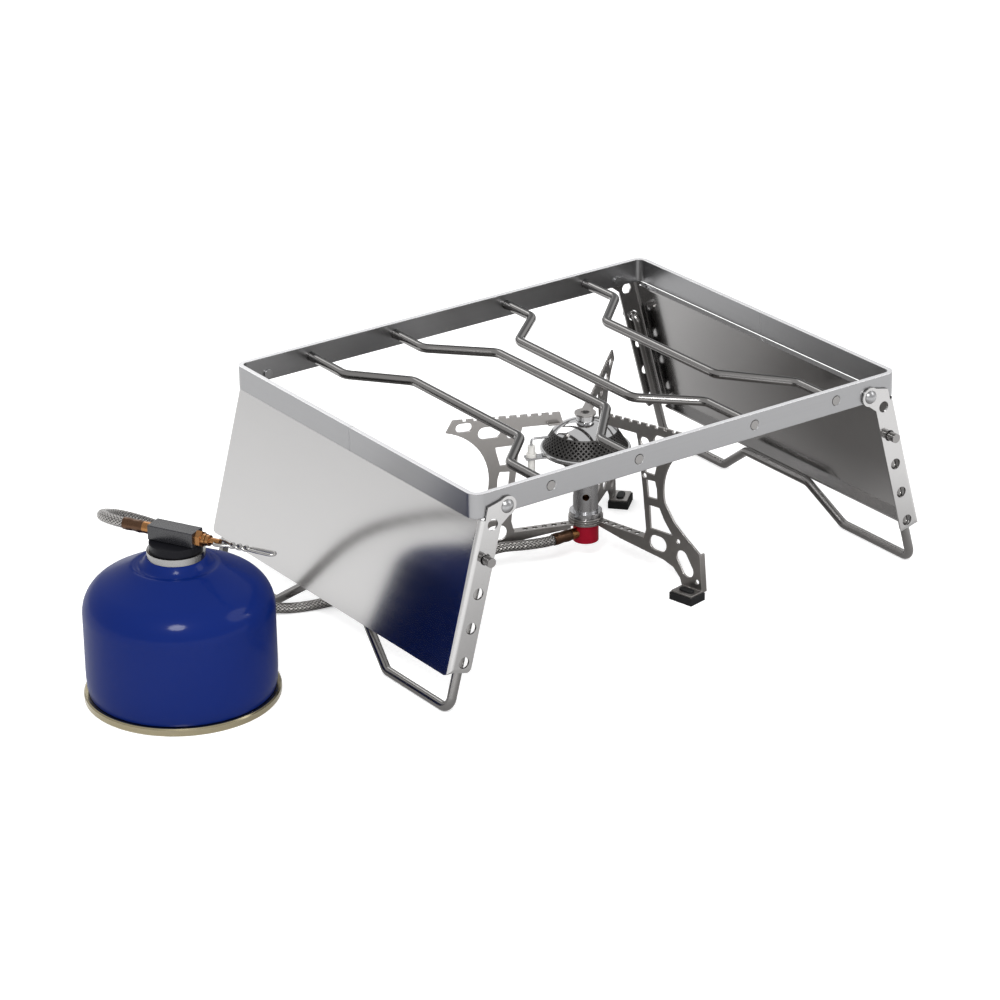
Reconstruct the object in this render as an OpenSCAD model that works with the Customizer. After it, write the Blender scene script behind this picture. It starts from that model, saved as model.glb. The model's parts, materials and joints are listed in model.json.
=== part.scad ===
// Folding camp grill stand over a three-legged gas burner with hose, valve and canister.
// Millimetres, +Z up, +X along the long side, the front is towards -Y.

/* [Stand frame] */
// Outside length of the frame band
frame_length = 300; // [260:1:360]
// Outside depth of the frame band
frame_width = 245; // [220:1:300]
// Height of the band's top edge above the floor
frame_height = 127; // [122:1:150]
// Height of the band
band_height = 14.5; // [13:0.5:18]
// Thickness of the band
band_thickness = 3; // [2:0.25:4]
// Outside radius of the band's corners
band_corner_radius = 7; // [5:0.5:12]
// Gap at the butt seam between the two frame halves
seam_gap = 0.3; // [0.1:0.1:0.8]

/* [Grill rods] */
// Diameter of the grill rods
rod_diameter = 5.5; // [4:0.25:6]
// Depth of the rod centres below the band's top edge
rod_drop = 7; // [5:0.25:8]
// Place of each rod's ends along the long side
rod_places = [-98.4, -38, 44, 104];
// Sideways jog of each rod's middle
rod_jogs = [26.4, 31, -30, -29.5];
// Distance of each rod's back outer bend from the middle
jog_back_outer = [83, 90, 92, 88];
// Distance of each rod's back inner bend from the middle
jog_back_inner = [50, 57, 65, 59];
// Distance of each rod's front inner bend from the middle
jog_front_inner = [57, 51, 48, 48];
// Distance of each rod's front outer bend from the middle
jog_front_outer = [83, 86, 78, 87];
// Centreline radius of the rod bends
rod_bend_radius = 9; // [7:0.5:12]

/* [Side panels] */
// Sheet thickness of the side panels
sheet = 1.2; // [0.8:0.1:1.5]
// Lean of the panels from upright, in degrees
panel_lean = 15; // [10:1:17]
// Length of the panels along their slope
panel_length = 90.5; // [84:0.5:94]
// Inset of the panel's outer face from the band's end
panel_inset = 3.3; // [3:0.1:5]
// Outside radius of the bends between panel and flanges
panel_bend_radius = 3; // [2:0.25:4]
// Width of the side flanges
flange_width = 14.5; // [13:0.5:17]
// Clear gap between the flanges and the band's face
flange_gap = 0.3; // [0.2:0.05:0.6]
// Radius of the panel's lower corners
panel_corner_radius = 6; // [4:0.5:8]
// Width of the inward hem along the top edge
top_hem = 3.4; // [2.5:0.1:4.5]
// Width of the inward hem along the bottom edge
bottom_hem = 5.5; // [4:0.1:5.6]
// Number of height holes in each flange
hole_count = 5; // [3:1:5]
// Spacing of the height holes
hole_spacing = 20; // [18:0.5:20]
// Diameter of the height holes
hole_diameter = 6.8; // [6.4:0.1:8]
// Depth of the hole line behind the panel's outer face
hole_inset = 8.7; // [8.7:0.1:9.5]
// Distance of the first hole below the panel's top edge
first_hole_drop = 2; // [1:0.5:4]
// Height hole that the wire legs are plugged into
leg_hole = 2; // [2:1:3]

/* [Pivot rivets] */
// Distance of the pivots from the band's ends
pivot_inset = 21.2; // [20:0.1:24]
// Height of the pivots above the band's lower edge
pivot_rise = 3.9; // [3.8:0.1:5]
// Diameter of the rivet shanks
rivet_diameter = 4.5; // [4:0.25:5]
// Diameter of the rivet heads
rivet_head_diameter = 8; // [7:0.25:9]
// Height of the rivet heads
rivet_head_height = 2.2; // [1.5:0.1:3]
// Radius of the panel's ear around each pivot
ear_radius = 5.8; // [5.4:0.1:7]

/* [Wire legs] */
// Diameter of the leg wire
leg_diameter = 5.5; // [4.5:0.25:5.6]
// Length of the leg pins beyond the flanges
pin_length = 6; // [4:0.5:9]
// Half length of the raised middle of each leg
arch_half = 30; // [25:1:40]
// Half distance between the two feet of each leg
foot_half = 58; // [52:1:70]
// Rise of the leg's middle above its feet, along the slope
arch_rise = 20.4; // [17:0.2:22]
// Centreline radius of the leg bends
leg_bend_radius = 7; // [5:0.5:9]
// Centreline radius of the bends beside the leg pins
pin_bend_radius = 3.2; // [3:0.1:3.4]

/* [Burner] */
// Place of the burner along the long side, from the stand's middle
burner_x = 16; // [0:1:25]
// Place of the burner in depth, from the stand's middle
burner_y = 1; // [-10:1:10]
// Height of the inlet body's underside
inlet_bottom = 12.6; // [12:0.2:13.6]
// Height of the inlet body
inlet_height = 11.6; // [10.6:0.2:12]
// Diameter of the inlet body
inlet_diameter = 15.4; // [15:0.2:17]
// Diameter of the burner column
column_diameter = 15; // [14:0.25:15.2]
// Wall of the burner column
column_wall = 1.5; // [1:0.25:2]
// Height of the column's top above the floor
column_top = 58; // [56:0.5:60]
// Diameter of the air holes in the column
air_hole_diameter = 4.2; // [3:0.2:5]
// Height of the air holes above the floor
air_hole_height = 42.7; // [41:0.1:44]
// Height of the trim ring above the floor
head_height = 71; // [69:0.5:73]
// Diameter of the trim ring
head_diameter = 53.5; // [50:0.5:56]
// Height of the perforated skirt
skirt_height = 10.4; // [9:0.2:11]
// Diameter of the dome cap
cap_diameter = 38; // [36:0.5:40]
// Rise of the dome cap
cap_rise = 6.2; // [5:0.1:7]
// Wall of the cup, skirt and cap
head_wall = 1; // [0.8:0.1:1.2]
// Flame holes around the skirt
skirt_holes = 24; // [18:2:30]

/* [Burner legs] */
// Direction of the back leg about the column, in degrees
back_leg_angle = 42; // [36:1:48]
// Thickness of the leg plates
leg_plate = 1.2; // [1:0.1:1.4]
// Height of the lowest leg ring above the floor
ring_height = 24.6; // [24.4:0.1:25.4]
// Step between the leg rings
ring_step = 1.5; // [1.3:0.1:1.6]
// Outside radius of the leg rings
ring_radius = 10.4; // [10:0.1:11.5]
// Height of the arm's top at its inner end
arm_inner_height = 98.6; // [98:0.2:100]
// Height of the arm's top at its tip
arm_tip_height = 102; // [101:0.5:104]
// Height of the rubber feet
pad_height = 4.6; // [4:0.2:5]

/* [Hose] */
// Outside diameter of the braided hose
hose_diameter = 6.2; // [5.5:0.1:6.8]
// Diameter of the crimped sleeves
sleeve_diameter = 7.4; // [7:0.1:8]
// Length of the crimped sleeves
sleeve_length = 12.8; // [11:0.2:14]
// Diameter of the brass nipples
nipple_diameter = 6.8; // [6.2:0.1:7.2]
// Length of the burner's brass nipple
burner_nipple_length = 3.6; // [3:0.2:5]
// Length of the valve's brass nipple
valve_nipple_length = 5.6; // [4:0.2:6]

/* [Canister] */
// Distance of the canister from the stand's middle along the long side
canister_distance = 270; // [250:1:300]
// Place of the canister in depth
canister_y = -8; // [-20:1:10]
// Radius of the canister's base rim
rim_radius = 55; // [52:0.5:58]
// Height of the base rim
rim_height = 4.6; // [4:0.2:6]
// Radius of the canister's wall
wall_radius = 53.4; // [51:0.2:54]
// Height where the shoulder starts
shoulder_height = 51.8; // [48:0.2:54]
// Radius of the shoulder's bend
shoulder_radius = 20.4; // [18:0.2:22]
// Slope of the canister's top, in degrees
top_slope = 27.5; // [24:0.5:30]
// Radius where the sloping top ends
shoulder_inner = 24; // [23:0.5:26]
// Wall thickness of the canister
canister_wall = 1; // [0.6:0.1:1.5]
// Radius of the valve cup's collar
collar_radius = 16.3; // [15.5:0.1:17.5]
// Height of the valve cup's collar
collar_height = 4; // [3.6:0.1:5]

/* [Valve] */
// Direction of the valve's handle end about the canister, in degrees
valve_angle = -63; // [-90:1:-30]
// Radius of the valve base
valve_base_radius = 14.8; // [14:0.1:16]
// Height of the valve base
valve_base_height = 4.6; // [4:0.1:5.4]
// Length of the valve block
block_length = 28.5; // [26:0.5:32]
// Width of the valve block
block_width = 11.3; // [10.4:0.1:13]
// Height of the valve block
block_height = 8.6; // [8:0.1:10]
// Diameter of the valve spindle
spindle_diameter = 4; // [3.6:0.1:4.4]
// Diameter of the handle wire
handle_wire = 1.8; // [1.4:0.1:1.9]
// Length of the wire handle from its hinge
handle_length = 37; // [34:1:50]

/* [Hidden] */
$fn = 48;
round_fn = 32;
running_gap = 0.06;
seat_gap = 0.3;
bend_lap = 0.1;
bend_swell = 0.03;
half_length = frame_length / 2;
half_width = frame_width / 2;
band_bottom = frame_height - band_height;
rod_height = frame_height - rod_drop;
rod_bore = rod_diameter + 2 * running_gap;
rod_edge = 0.4;

// Panel frame: depth runs inward from the outer face, slope runs up along it from the top edge
panel_top_x = half_length - panel_inset;
panel_top_z = band_bottom - seat_gap;
flange_face = half_width + flange_gap;
pivot_x = half_length - pivot_inset;
pivot_z = band_bottom + pivot_rise;
function to_depth(x, z) = (panel_top_x - x) * cos(panel_lean) - (z - panel_top_z) * sin(panel_lean);
function to_slope(x, z) = (panel_top_x - x) * sin(panel_lean) + (z - panel_top_z) * cos(panel_lean);
function from_local_x(depth, slope) = panel_top_x - depth * cos(panel_lean) - slope * sin(panel_lean);
pivot_depth = to_depth(pivot_x, pivot_z);
pivot_slope = to_slope(pivot_x, pivot_z);
hole_slopes = [for (i = [0 : hole_count - 1]) -first_hole_drop - i * hole_spacing];
pin_slope = hole_slopes[leg_hole - 1];
foot_slope = (leg_diameter / 2 - panel_top_z + hole_inset * sin(panel_lean)) / cos(panel_lean);
arm_face = flange_face - seat_gap - leg_diameter / 2;
foot_reach = from_local_x(hole_inset, foot_slope) + leg_diameter / 2;
panel_reach = from_local_x(0, -panel_length);
stand_reach = max(foot_reach, panel_reach);

// The origin lies under the middle of the whole set
canister_x = -canister_distance;
centre_x = (stand_reach + canister_x - rim_radius) / 2;

// Burner heights and radii
column_radius = column_diameter / 2;
column_bore = column_radius - column_wall;
inlet_top = inlet_bottom + inlet_height;
inlet_middle = inlet_bottom + inlet_height * 0.51;
ring_bore = column_radius + running_gap;
collar_bottom = ring_height + 3 * ring_step;
head_radius = head_diameter / 2;
cap_radius = cap_diameter / 2;
ring_bead = 2.4;
skirt_bottom = head_height + ring_bead;
skirt_top = skirt_bottom + skirt_height;
cap_top = skirt_top + cap_rise;
tab_height = arm_inner_height - 5.2;
cap_sphere = (cap_radius * cap_radius + cap_rise * cap_rise) / (2 * cap_rise);
leg_angles = [back_leg_angle, back_leg_angle + 120, back_leg_angle - 120];
plate_shifts = [0, 4, 0];
ring_levels = [ring_height + 2 * ring_step, ring_height, ring_height + ring_step];
foot_outer = 90.6;
foot_inner = 75.6;
foot_width = 10.4;
tab_top = pad_height + leg_plate;

// Igniter beside the left leg
igniter_angle = leg_angles[1] - 3;
igniter_radius = 33;
ceramic_radius = 2.2;
ceramic_bottom = 57;
ceramic_top = 77;
electrode_radius = 0.7;
electrode_height = skirt_top - 2.5;

// Canister and valve heights
neck_rise = 4.5;
bend_centre = [wall_radius - shoulder_radius, shoulder_height];
function bend_end(inset) = bend_centre + (shoulder_radius - inset) * [sin(top_slope), cos(top_slope)];
crest_height = bend_end(0).y + (bend_end(0).x - shoulder_inner) * tan(top_slope);
seat_height = crest_height + neck_rise;
collar_top = seat_height + collar_height;
cup_floor = 1.2;
stub_radius = 5.5;
socket_gap = 0.15;
boss_bottom = seat_height + cup_floor + 1.3;
valve_base_bottom = collar_top + 0.1;
block_bottom = valve_base_bottom + valve_base_height;
valve_axis = block_bottom + block_height / 2;
block_end = block_length / 2;
gland_length = 6;
spindle_end = block_end + 14.5;
handle_hinge = block_end + 12;
handle_spread = 3.6;
handle_close = 1.3;
bead_radius = 3.1;

// Hose route from the burner's sleeve to the valve's sleeve
hose_gap = 0.1;
burner_side = burner_x - inlet_diameter / 2;
hose_start = burner_side - burner_nipple_length - sleeve_length - hose_gap;
valve_reach = block_end + valve_nipple_length + sleeve_length + hose_gap;
valve_end = [canister_x - valve_reach * cos(valve_angle),
             canister_y - valve_reach * sin(valve_angle), valve_axis];
valve_out = [-cos(valve_angle), -sin(valve_angle), 0];
hose_route = [
    [-25, 3.6, 19], [-40, 9.8, 19], [-53, 12.4, 16.8], [-66, 15.2, 13], [-79, 18.8, 8.8], [-92, 23, 5.4],
    [-105, 27.4, 3.7], [-118, 31.2, 3.2], [-131, 34.5, 3.2], [-144, 36.6, 3.2], [-157, 39.2, 3.2],
    [-169, 44, 3.4], [-180, 50.5, 5.4], [-190, 56.5, 10.5], [-199, 61, 18.5], [-207, 64, 28.5],
    [-214.5, 65.5, 39.5], [-222, 66, 50], [-231, 65.5, 60], [-242, 63.5, 69], [-255, 60.5, 77.2],
    [-267.5, 58, 84], [-277, 54, 88.6], [-283.6, 48, 92.2], [-287.4, 40, 95], [-288, 31, 96.6]];
hose_points = concat([[hose_start, burner_y, inlet_middle], [hose_start - 5, burner_y + 0.2, inlet_middle]],
                     hose_route, [valve_end + 2 * valve_out, valve_end]);
hose_sides = 10;

// Shared shapes

module rounded_rect(length, width, radius) {
    square([length - 2 * radius, width], center = true);
    square([length, width - 2 * radius], center = true);
    for (x = [-1, 1], y = [-1, 1])
        translate([x * (length / 2 - radius), y * (width / 2 - radius)]) circle(radius);
}

module slot_2d(length, width) {
    square([length - width, width], center = true);
    for (x = [-1, 1]) translate([x * (length - width) / 2, 0]) circle(width / 2, $fn = round_fn);
}

function turn(a, b, c) = let (d = atan2(c.y - b.y, c.x - b.x) - atan2(b.y - a.y, b.x - a.x))
    d > 180 ? d - 360 : d < -180 ? d + 360 : d;
function corner_radius(radius, i) = is_list(radius) ? radius[i] : radius;
function setback(points, i, radius) = i == 0 || i == len(points) - 1 ? 0 :
    corner_radius(radius, i) * tan(abs(turn(points[i - 1], points[i], points[i + 1])) / 2);

// Round wire bent in one plane: straight runs reach a little into slightly fuller bends.
// The radius is one number, or a list with a number for each point
module bent_wire(points, diameter, radius) {
    last = len(points) - 2;
    for (i = [0 : last]) {
        run = points[i + 1] - points[i];
        direction = atan2(run.y, run.x);
        start = setback(points, i, radius);
        first_lap = i == 0 ? 0 : bend_lap;
        last_lap = i == last ? 0 : bend_lap;
        length = norm(run) - start - setback(points, i + 1, radius) + first_lap + last_lap;
        translate([points[i].x, points[i].y, 0]) rotate([0, 0, direction]) translate([start - first_lap, 0, 0])
            rotate([0, 90, 0]) cylinder(d = diameter, h = length);
        if (i > 0) {
            angle = turn(points[i - 1], points[i], points[i + 1]);
            side = angle > 0 ? 1 : -1;
            bend = corner_radius(radius, i);
            translate([points[i].x, points[i].y, 0]) rotate([0, 0, direction]) translate([start, side * bend, 0])
                rotate([0, 0, side > 0 ? -90 - angle : 90])
                    rotate_extrude(angle = abs(angle)) translate([bend, 0]) circle(d = diameter + bend_swell);
        }
    }
}

module mirrored_x() {
    mirror([1, 0, 0]) children();
}

// Stand

module band_ring() {
    linear_extrude(band_height) difference() {
        rounded_rect(frame_length, frame_width, band_corner_radius);
        rounded_rect(frame_length - 2 * band_thickness, frame_width - 2 * band_thickness,
                     band_corner_radius - band_thickness);
    }
}

// Half of the band on one side of the seam, drilled for the rods and the pivots
module frame_half(side) {
    difference() {
        intersection() {
            translate([0, 0, band_bottom]) band_ring();
            translate([-frame_length, side > 0 ? seam_gap / 2 : -frame_width - seam_gap / 2, 0])
                cube([2 * frame_length, frame_width, 2 * frame_height]);
        }
        for (x = rod_places) translate([x, side * half_width, rod_height]) {
            rotate([90, 0, 0]) cylinder(d = rod_bore, h = 4 * band_thickness, center = true);
            rotate([-90 * side, 0, 0]) translate([0, 0, -rod_edge])
                cylinder(d1 = rod_bore, d2 = rod_bore + 4 * rod_edge, h = 2 * rod_edge);
        }
        for (x = [-pivot_x, pivot_x]) translate([x, side * half_width, pivot_z])
            rotate([90, 0, 0]) cylinder(d = rivet_diameter + 2 * running_gap, h = 4 * band_thickness, center = true);
    }
}

module frame_front_half() {
    color("silver") frame_half(-1);
}

module frame_back_half() {
    color("silver") frame_half(1);
}

// Rod through both long bars, jogged sideways in its middle, ends flush with the band
module grill_rod(i) {
    x = rod_places[i];
    middle = x + rod_jogs[i];
    color("gainsboro") translate([0, 0, rod_height])
        bent_wire([[x, -half_width], [x, -jog_front_outer[i]], [middle, -jog_front_inner[i]],
                   [middle, jog_back_inner[i]], [x, jog_back_outer[i]], [x, half_width]],
                  rod_diameter, rod_bend_radius);
}

// Side outline of a panel: flange and ear, depth across and slope up
module panel_outline() {
    ear_shoulder = 7.6;
    ear_edge = panel_bend_radius + 0.2;
    ear_join = ear_radius - 0.6;
    difference() {
        union() {
            translate([0, -panel_length]) square([flange_width - ear_radius, panel_length]);
            translate([0, -panel_length + ear_radius]) square([flange_width, panel_length - ear_radius]);
            translate([flange_width - ear_radius, -panel_length + ear_radius]) circle(ear_radius);
            polygon([[ear_edge, -ear_shoulder], [ear_edge, ear_shoulder],
                     [pivot_depth - ear_join * sin(25), pivot_slope + ear_join * cos(25)],
                     [pivot_depth + ear_join * cos(28), pivot_slope - ear_join * sin(28)],
                     [flange_width, -first_hole_drop], [flange_width, -ear_shoulder]]);
            translate([pivot_depth, pivot_slope]) circle(ear_radius);
        }
        for (s = hole_slopes) translate([hole_inset, s]) circle(d = hole_diameter);
        translate([pivot_depth, pivot_slope]) circle(d = rivet_diameter + 2 * running_gap);
    }
}

// Bent sheet in its own frame: depth along X, width along Y, slope along Z
module panel_sheet() {
    outer_width = 2 * (flange_face + sheet);
    channel_depth = pivot_depth + 2 * ear_radius;
    channel_top = pivot_slope + 2 * ear_radius;
    hem_lap = sheet * 0.8;
    hem_width = outer_width - 2 * panel_corner_radius - 4;
    corner_ease = 0.2;
    intersection() {
        translate([0, 0, -panel_length - 1]) linear_extrude(panel_length + 1 + channel_top) difference() {
            translate([channel_depth, 0]) rounded_rect(2 * channel_depth, outer_width, panel_bend_radius);
            translate([channel_depth + sheet, 0])
                rounded_rect(2 * channel_depth, outer_width - 2 * sheet, panel_bend_radius - sheet);
        }
        translate([0, outer_width, 0]) rotate([90, 0, 0]) linear_extrude(2 * outer_width) panel_outline();
        translate([-1, 0, channel_top - panel_length / 2]) rotate([90, 0, 90]) linear_extrude(2 * channel_depth)
            rounded_rect(outer_width + corner_ease, panel_length + 2 * channel_top + corner_ease, panel_corner_radius);
    }
    for (hem = [[top_hem, -sheet], [bottom_hem, -panel_length]])
        translate([sheet - hem_lap, -hem_width / 2, hem[1]]) cube([hem[0] - sheet + hem_lap, hem_width, sheet]);
}

// Leg wire in the panel's frame, seen square to the hole line
module leg_wire() {
    pin_tip = flange_face + sheet + pin_length;
    half = [[pin_tip, pin_slope], [arm_face, pin_slope], [arm_face, foot_slope], [foot_half, foot_slope],
            [arch_half, foot_slope + arch_rise]];
    far = [for (i = [len(half) - 1 : -1 : 0]) [-half[i].x, half[i].y]];
    last = 2 * len(half) - 1;
    radii = [for (i = [0 : last]) i == 1 || i == last - 1 ? pin_bend_radius : leg_bend_radius];
    rotate([90, 0, 90]) bent_wire(concat(half, far), leg_diameter, radii);
}

module at_left_panel() {
    translate([-panel_top_x, 0, panel_top_z]) rotate([0, panel_lean, 0]) children();
}

module left_panel() {
    color("lightgray") at_left_panel() panel_sheet();
}

module right_panel() {
    color("lightgray") mirrored_x() at_left_panel() panel_sheet();
}

module left_wire_leg() {
    color("silver") at_left_panel() translate([hole_inset, 0, 0]) leg_wire();
}

module right_wire_leg() {
    color("silver") mirrored_x() at_left_panel() translate([hole_inset, 0, 0]) leg_wire();
}

// Domed head outside the flange, shank through flange and band, upset end inside
module pivot_rivet() {
    head_face = flange_face + sheet + flange_gap / 2;
    inner_face = half_width - band_thickness;
    upset = 1;
    dome = (rivet_head_diameter * rivet_head_diameter / 4 + rivet_head_height * rivet_head_height)
        / (2 * rivet_head_height);
    rotate([-90, 0, 0]) {
        translate([0, 0, inner_face - upset]) cylinder(d = rivet_diameter + 1, h = upset);
        translate([0, 0, inner_face - upset]) cylinder(d = rivet_diameter, h = head_face - inner_face + 2 * upset);
        intersection() {
            translate([0, 0, head_face + rivet_head_height - dome]) sphere(dome);
            translate([0, 0, head_face]) cylinder(d = rivet_head_diameter, h = rivet_head_height);
        }
    }
}

module pivot_rivets(x) {
    color("whitesmoke") translate([x, 0, pivot_z]) {
        pivot_rivet();
        mirror([0, 1, 0]) pivot_rivet();
    }
}

module left_pivot_rivets() {
    pivot_rivets(-pivot_x);
}

module right_pivot_rivets() {
    pivot_rivets(pivot_x);
}

// Burner

module at_burner(angle = 0) {
    translate([burner_x, burner_y, 0]) rotate([0, 0, angle]) children();
}

module tube(outer, inner, bottom, top) {
    translate([0, 0, bottom]) difference() {
        cylinder(r = outer, h = top - bottom);
        translate([0, 0, -1]) cylinder(r = inner, h = top - bottom + 2);
    }
}

module inlet_body() {
    passage = 2;
    color([0.6, 0.06, 0.16]) at_burner() difference() {
        translate([0, 0, inlet_bottom]) cylinder(d = inlet_diameter, h = inlet_height);
        translate([0, 0, inlet_middle - passage]) cylinder(r = passage, h = inlet_height);
        translate([0, 0, inlet_middle]) rotate([0, -90, 0]) cylinder(r = passage, h = inlet_diameter);
    }
}

module gas_jet() {
    base_radius = 4.4;
    tip_radius = 2;
    orifice = 0.5;
    base_top = air_hole_height - 6;
    color("peru") at_burner() difference() {
        union() {
            translate([0, 0, inlet_top]) cylinder(r = base_radius, h = base_top - inlet_top, $fn = 6);
            translate([0, 0, inlet_top]) cylinder(r = tip_radius, h = air_hole_height + 1 - inlet_top);
        }
        translate([0, 0, inlet_top - 1]) cylinder(r = orifice, h = air_hole_height, $fn = 24);
    }
}

module burner_column() {
    air_hole_turn = -35;
    color("lightslategray") at_burner() difference() {
        tube(column_radius, column_bore, inlet_top, column_top);
        for (a = [0, 90]) translate([0, 0, air_hole_height]) rotate([90, 0, air_hole_turn + a])
            cylinder(d = air_hole_diameter, h = 2 * column_diameter, center = true);
    }
}

module column_collar() {
    collar_height_on_column = 1.7;
    color("silver") at_burner()
        tube(ring_radius - 1.4, ring_bore, collar_bottom, collar_bottom + collar_height_on_column);
}

module spring_clip() {
    clip_bottom = collar_bottom + 2;
    clip_width = 0.9;
    tail = 3.5;
    color("gray") at_burner(205) {
        tube(ring_radius - 0.6, ring_bore, clip_bottom, clip_bottom + clip_width);
        translate([ring_radius - 1.2, -1, clip_bottom]) cube([tail, 2, clip_width]);
    }
}

// Thin bowl that widens from the column to a flat rim under the trim ring
module mixing_cup() {
    sleeve = 5;
    rim = 4.5;
    lip = head_radius - 1.2;
    inside = column_radius + running_gap;
    color("dimgray") at_burner() rotate_extrude() polygon([
        [inside, column_top - sleeve], [inside + head_wall, column_top - sleeve],
        [inside + head_wall, column_top - 1], [lip - rim, head_height - head_wall], [lip, head_height - head_wall],
        [lip, head_height], [lip - rim - head_wall / 2, head_height], [inside, column_top]]);
}

module trim_ring() {
    color("gainsboro") at_burner() rotate_extrude() translate([head_radius - ring_bead / 2, head_height + ring_bead / 2])
        intersection() {
            circle(d = ring_bead * 1.18);
            square([ring_bead * 1.18, ring_bead], center = true);
        }
}

// Cone of sheet with a row of flame holes
module flame_skirt() {
    hole = 0.9;
    bottom_radius = head_radius - 1.2;
    slope = atan2(bottom_radius - cap_radius, skirt_height);
    color([0.25, 0.24, 0.23]) at_burner() difference() {
        rotate_extrude() polygon([[bottom_radius - head_wall, skirt_bottom], [bottom_radius, skirt_bottom],
                                  [cap_radius, skirt_top], [cap_radius - head_wall, skirt_top]]);
        for (i = [0 : skirt_holes - 1]) rotate([0, 0, i * 360 / skirt_holes])
            translate([(bottom_radius + cap_radius - head_wall) / 2, 0, (skirt_bottom + skirt_top) / 2])
                rotate([0, 90 - slope, 0]) cylinder(r = hole, h = 4 * head_wall, center = true, $fn = 16);
    }
}

module dome_cap() {
    boss_radius = 5.4;
    boss_hole = 2.2;
    inner_sphere = cap_sphere - head_wall;
    color("white") at_burner() difference() {
        union() {
            intersection() {
                translate([0, 0, cap_top - cap_sphere]) difference() {
                    sphere(cap_sphere, $fn = 96);
                    sphere(inner_sphere, $fn = 96);
                }
                translate([0, 0, skirt_top]) cylinder(r = cap_radius, h = cap_rise + 1);
            }
            translate([0, 0, cap_top - head_wall]) cylinder(r = boss_radius, h = tab_height - cap_top + head_wall);
        }
        translate([0, 0, cap_top - 2]) cylinder(r = boss_hole, h = tab_height);
    }
}

// Stamped leg outline, distance from the column across and height up
module leg_outline(ring_level) {
    waist = [94.5, 62];
    waist_radius = 33.5;
    beam_top = ring_level + leg_plate;
    tooth_pitch = 6.6;
    tooth_gap = 2.2;
    tooth_depth = 1.5;
    arm_start = 17;
    arm_end = 82.6;
    arm_slope = (arm_tip_height - arm_inner_height) / (arm_end - arm_start);
    difference() {
        polygon(concat(
            [[arm_start, arm_inner_height], [arm_end, arm_tip_height]],
            [for (a = [103 : 6.5 : 194]) waist + waist_radius * [cos(a), sin(a)]],
            [[63.5, 51.6], [69.6, 43.2], [77, 37.2], [88.8, 28.8], [foot_outer, pad_height], [foot_inner, pad_height],
             [74, 9.6], [68.8, 15], [61, 17.6], [43, 19.6], [27.5, 21.4], [ring_radius + 0.4, ring_level - 1.6],
             [ring_radius + 0.4, beam_top], [46, beam_top], [47.8, 33], [45.4, 57], [43.8, 69], [41.6, 87], [40.2, 92.2],
             [15, 91.2]]));
        for (i = [1 : 9]) let (r = arm_start + i * tooth_pitch - 2)
            translate([r, arm_inner_height + arm_slope * (r - arm_start) - tooth_depth])
                square([tooth_gap, 4 * tooth_depth]);
        polygon([[45.6, 81.5], [57, 81.5], [56.4, 78], [54.2, 69.4], [47.2, 69.4]]);
        polygon([[48.2, 65], [54.6, 65.6], [56, 61], [56.4, 54.6], [49.4, 54.2]]);
        polygon([[50.2, 49.4], [58, 49.6], [61.5, 43.2], [68, 35], [51.2, 34.8]]);
        translate([76, 96.6]) slot_2d(10, 5.6);
        translate([60.5, 91.4]) slot_2d(14, 7.6);
        translate([46.5, 88.6]) slot_2d(7, 5.4);
        translate([57, 26.6]) slot_2d(13, 9.6);
        translate([77.6, 19.6]) rotate(-58) slot_2d(17, 8.6);
        for (hole = [[72.4, 32.4], [87, 10.8], [46.6, 67.2]]) translate(hole) circle(r = 1.5, $fn = round_fn);
    }
}

// Leg with its ring on the column, drilled beam flange, arm tab, heel flange and foot tab
module burner_leg(i) {
    level = ring_levels[i];
    beam_width = 5.5;
    beam_end = 45;
    heel_width = 4;
    heel_tilt = atan2(foot_outer - 88.8, 28.8 - pad_height);
    color([0.45, 0.43, 0.42]) at_burner(leg_angles[i]) {
        translate([0, 0, level]) linear_extrude(leg_plate) difference() {
            union() {
                circle(ring_radius);
                translate([0, -leg_plate / 2]) square([beam_end, beam_width]);
            }
            circle(ring_bore);
            for (r = [14.5 : 6 : 38.5]) translate([r, 2.2]) circle(r = 1.7, $fn = round_fn);
        }
        if (i == 0) back_arm_tab();
        translate([0, plate_shifts[i], 0]) {
            rotate([90, 0, 0]) translate([0, 0, -leg_plate / 2]) linear_extrude(leg_plate) leg_outline(level);
            translate([foot_inner, -foot_width, pad_height]) linear_extrude(leg_plate) difference() {
                square([foot_outer - foot_inner, foot_width]);
                translate([(foot_outer - foot_inner) / 2, foot_width / 2]) slot_2d(10, 4.6);
            }
            translate([foot_outer, 0, pad_height]) rotate([0, -heel_tilt, 0]) translate([-leg_plate, 0, 0])
                cube([leg_plate, heel_width, 23.6]);
            if (i > 0) translate([18, 0, arm_inner_height - 6.6]) cube([7, 4, leg_plate]);
        }
    }
}

// Eye over the dome's boss, carried by the back leg's arm
module back_arm_tab() {
    eye_radius = 6.4;
    eye_hole = 2.7;
    translate([0, 0, tab_height]) linear_extrude(leg_plate) difference() {
        union() {
            circle(eye_radius);
            translate([0, -3]) square([20, 6]);
        }
        circle(eye_hole);
    }
}

module back_burner_leg() {
    burner_leg(0);
}

module left_burner_leg() {
    burner_leg(1);
}

module right_burner_leg() {
    burner_leg(2);
}

// Rubber pad under the foot tab with a nub through its slot
module foot_pad(i) {
    rim = 0.8;
    color([0.06, 0.06, 0.06]) at_burner(leg_angles[i]) translate([0, plate_shifts[i], 0]) {
        translate([foot_inner - rim, -foot_width - rim, 0])
            cube([foot_outer - foot_inner + 2 * rim, foot_width + leg_plate / 2 + 2 * rim, pad_height]);
        translate([(foot_inner + foot_outer) / 2, -foot_width / 2, 0])
            linear_extrude(tab_top + 0.8) slot_2d(10 - 2 * running_gap, 4.6 - 2 * running_gap);
    }
}

module back_foot_pad() {
    foot_pad(0);
}

module left_foot_pad() {
    foot_pad(1);
}

module right_foot_pad() {
    foot_pad(2);
}

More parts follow.
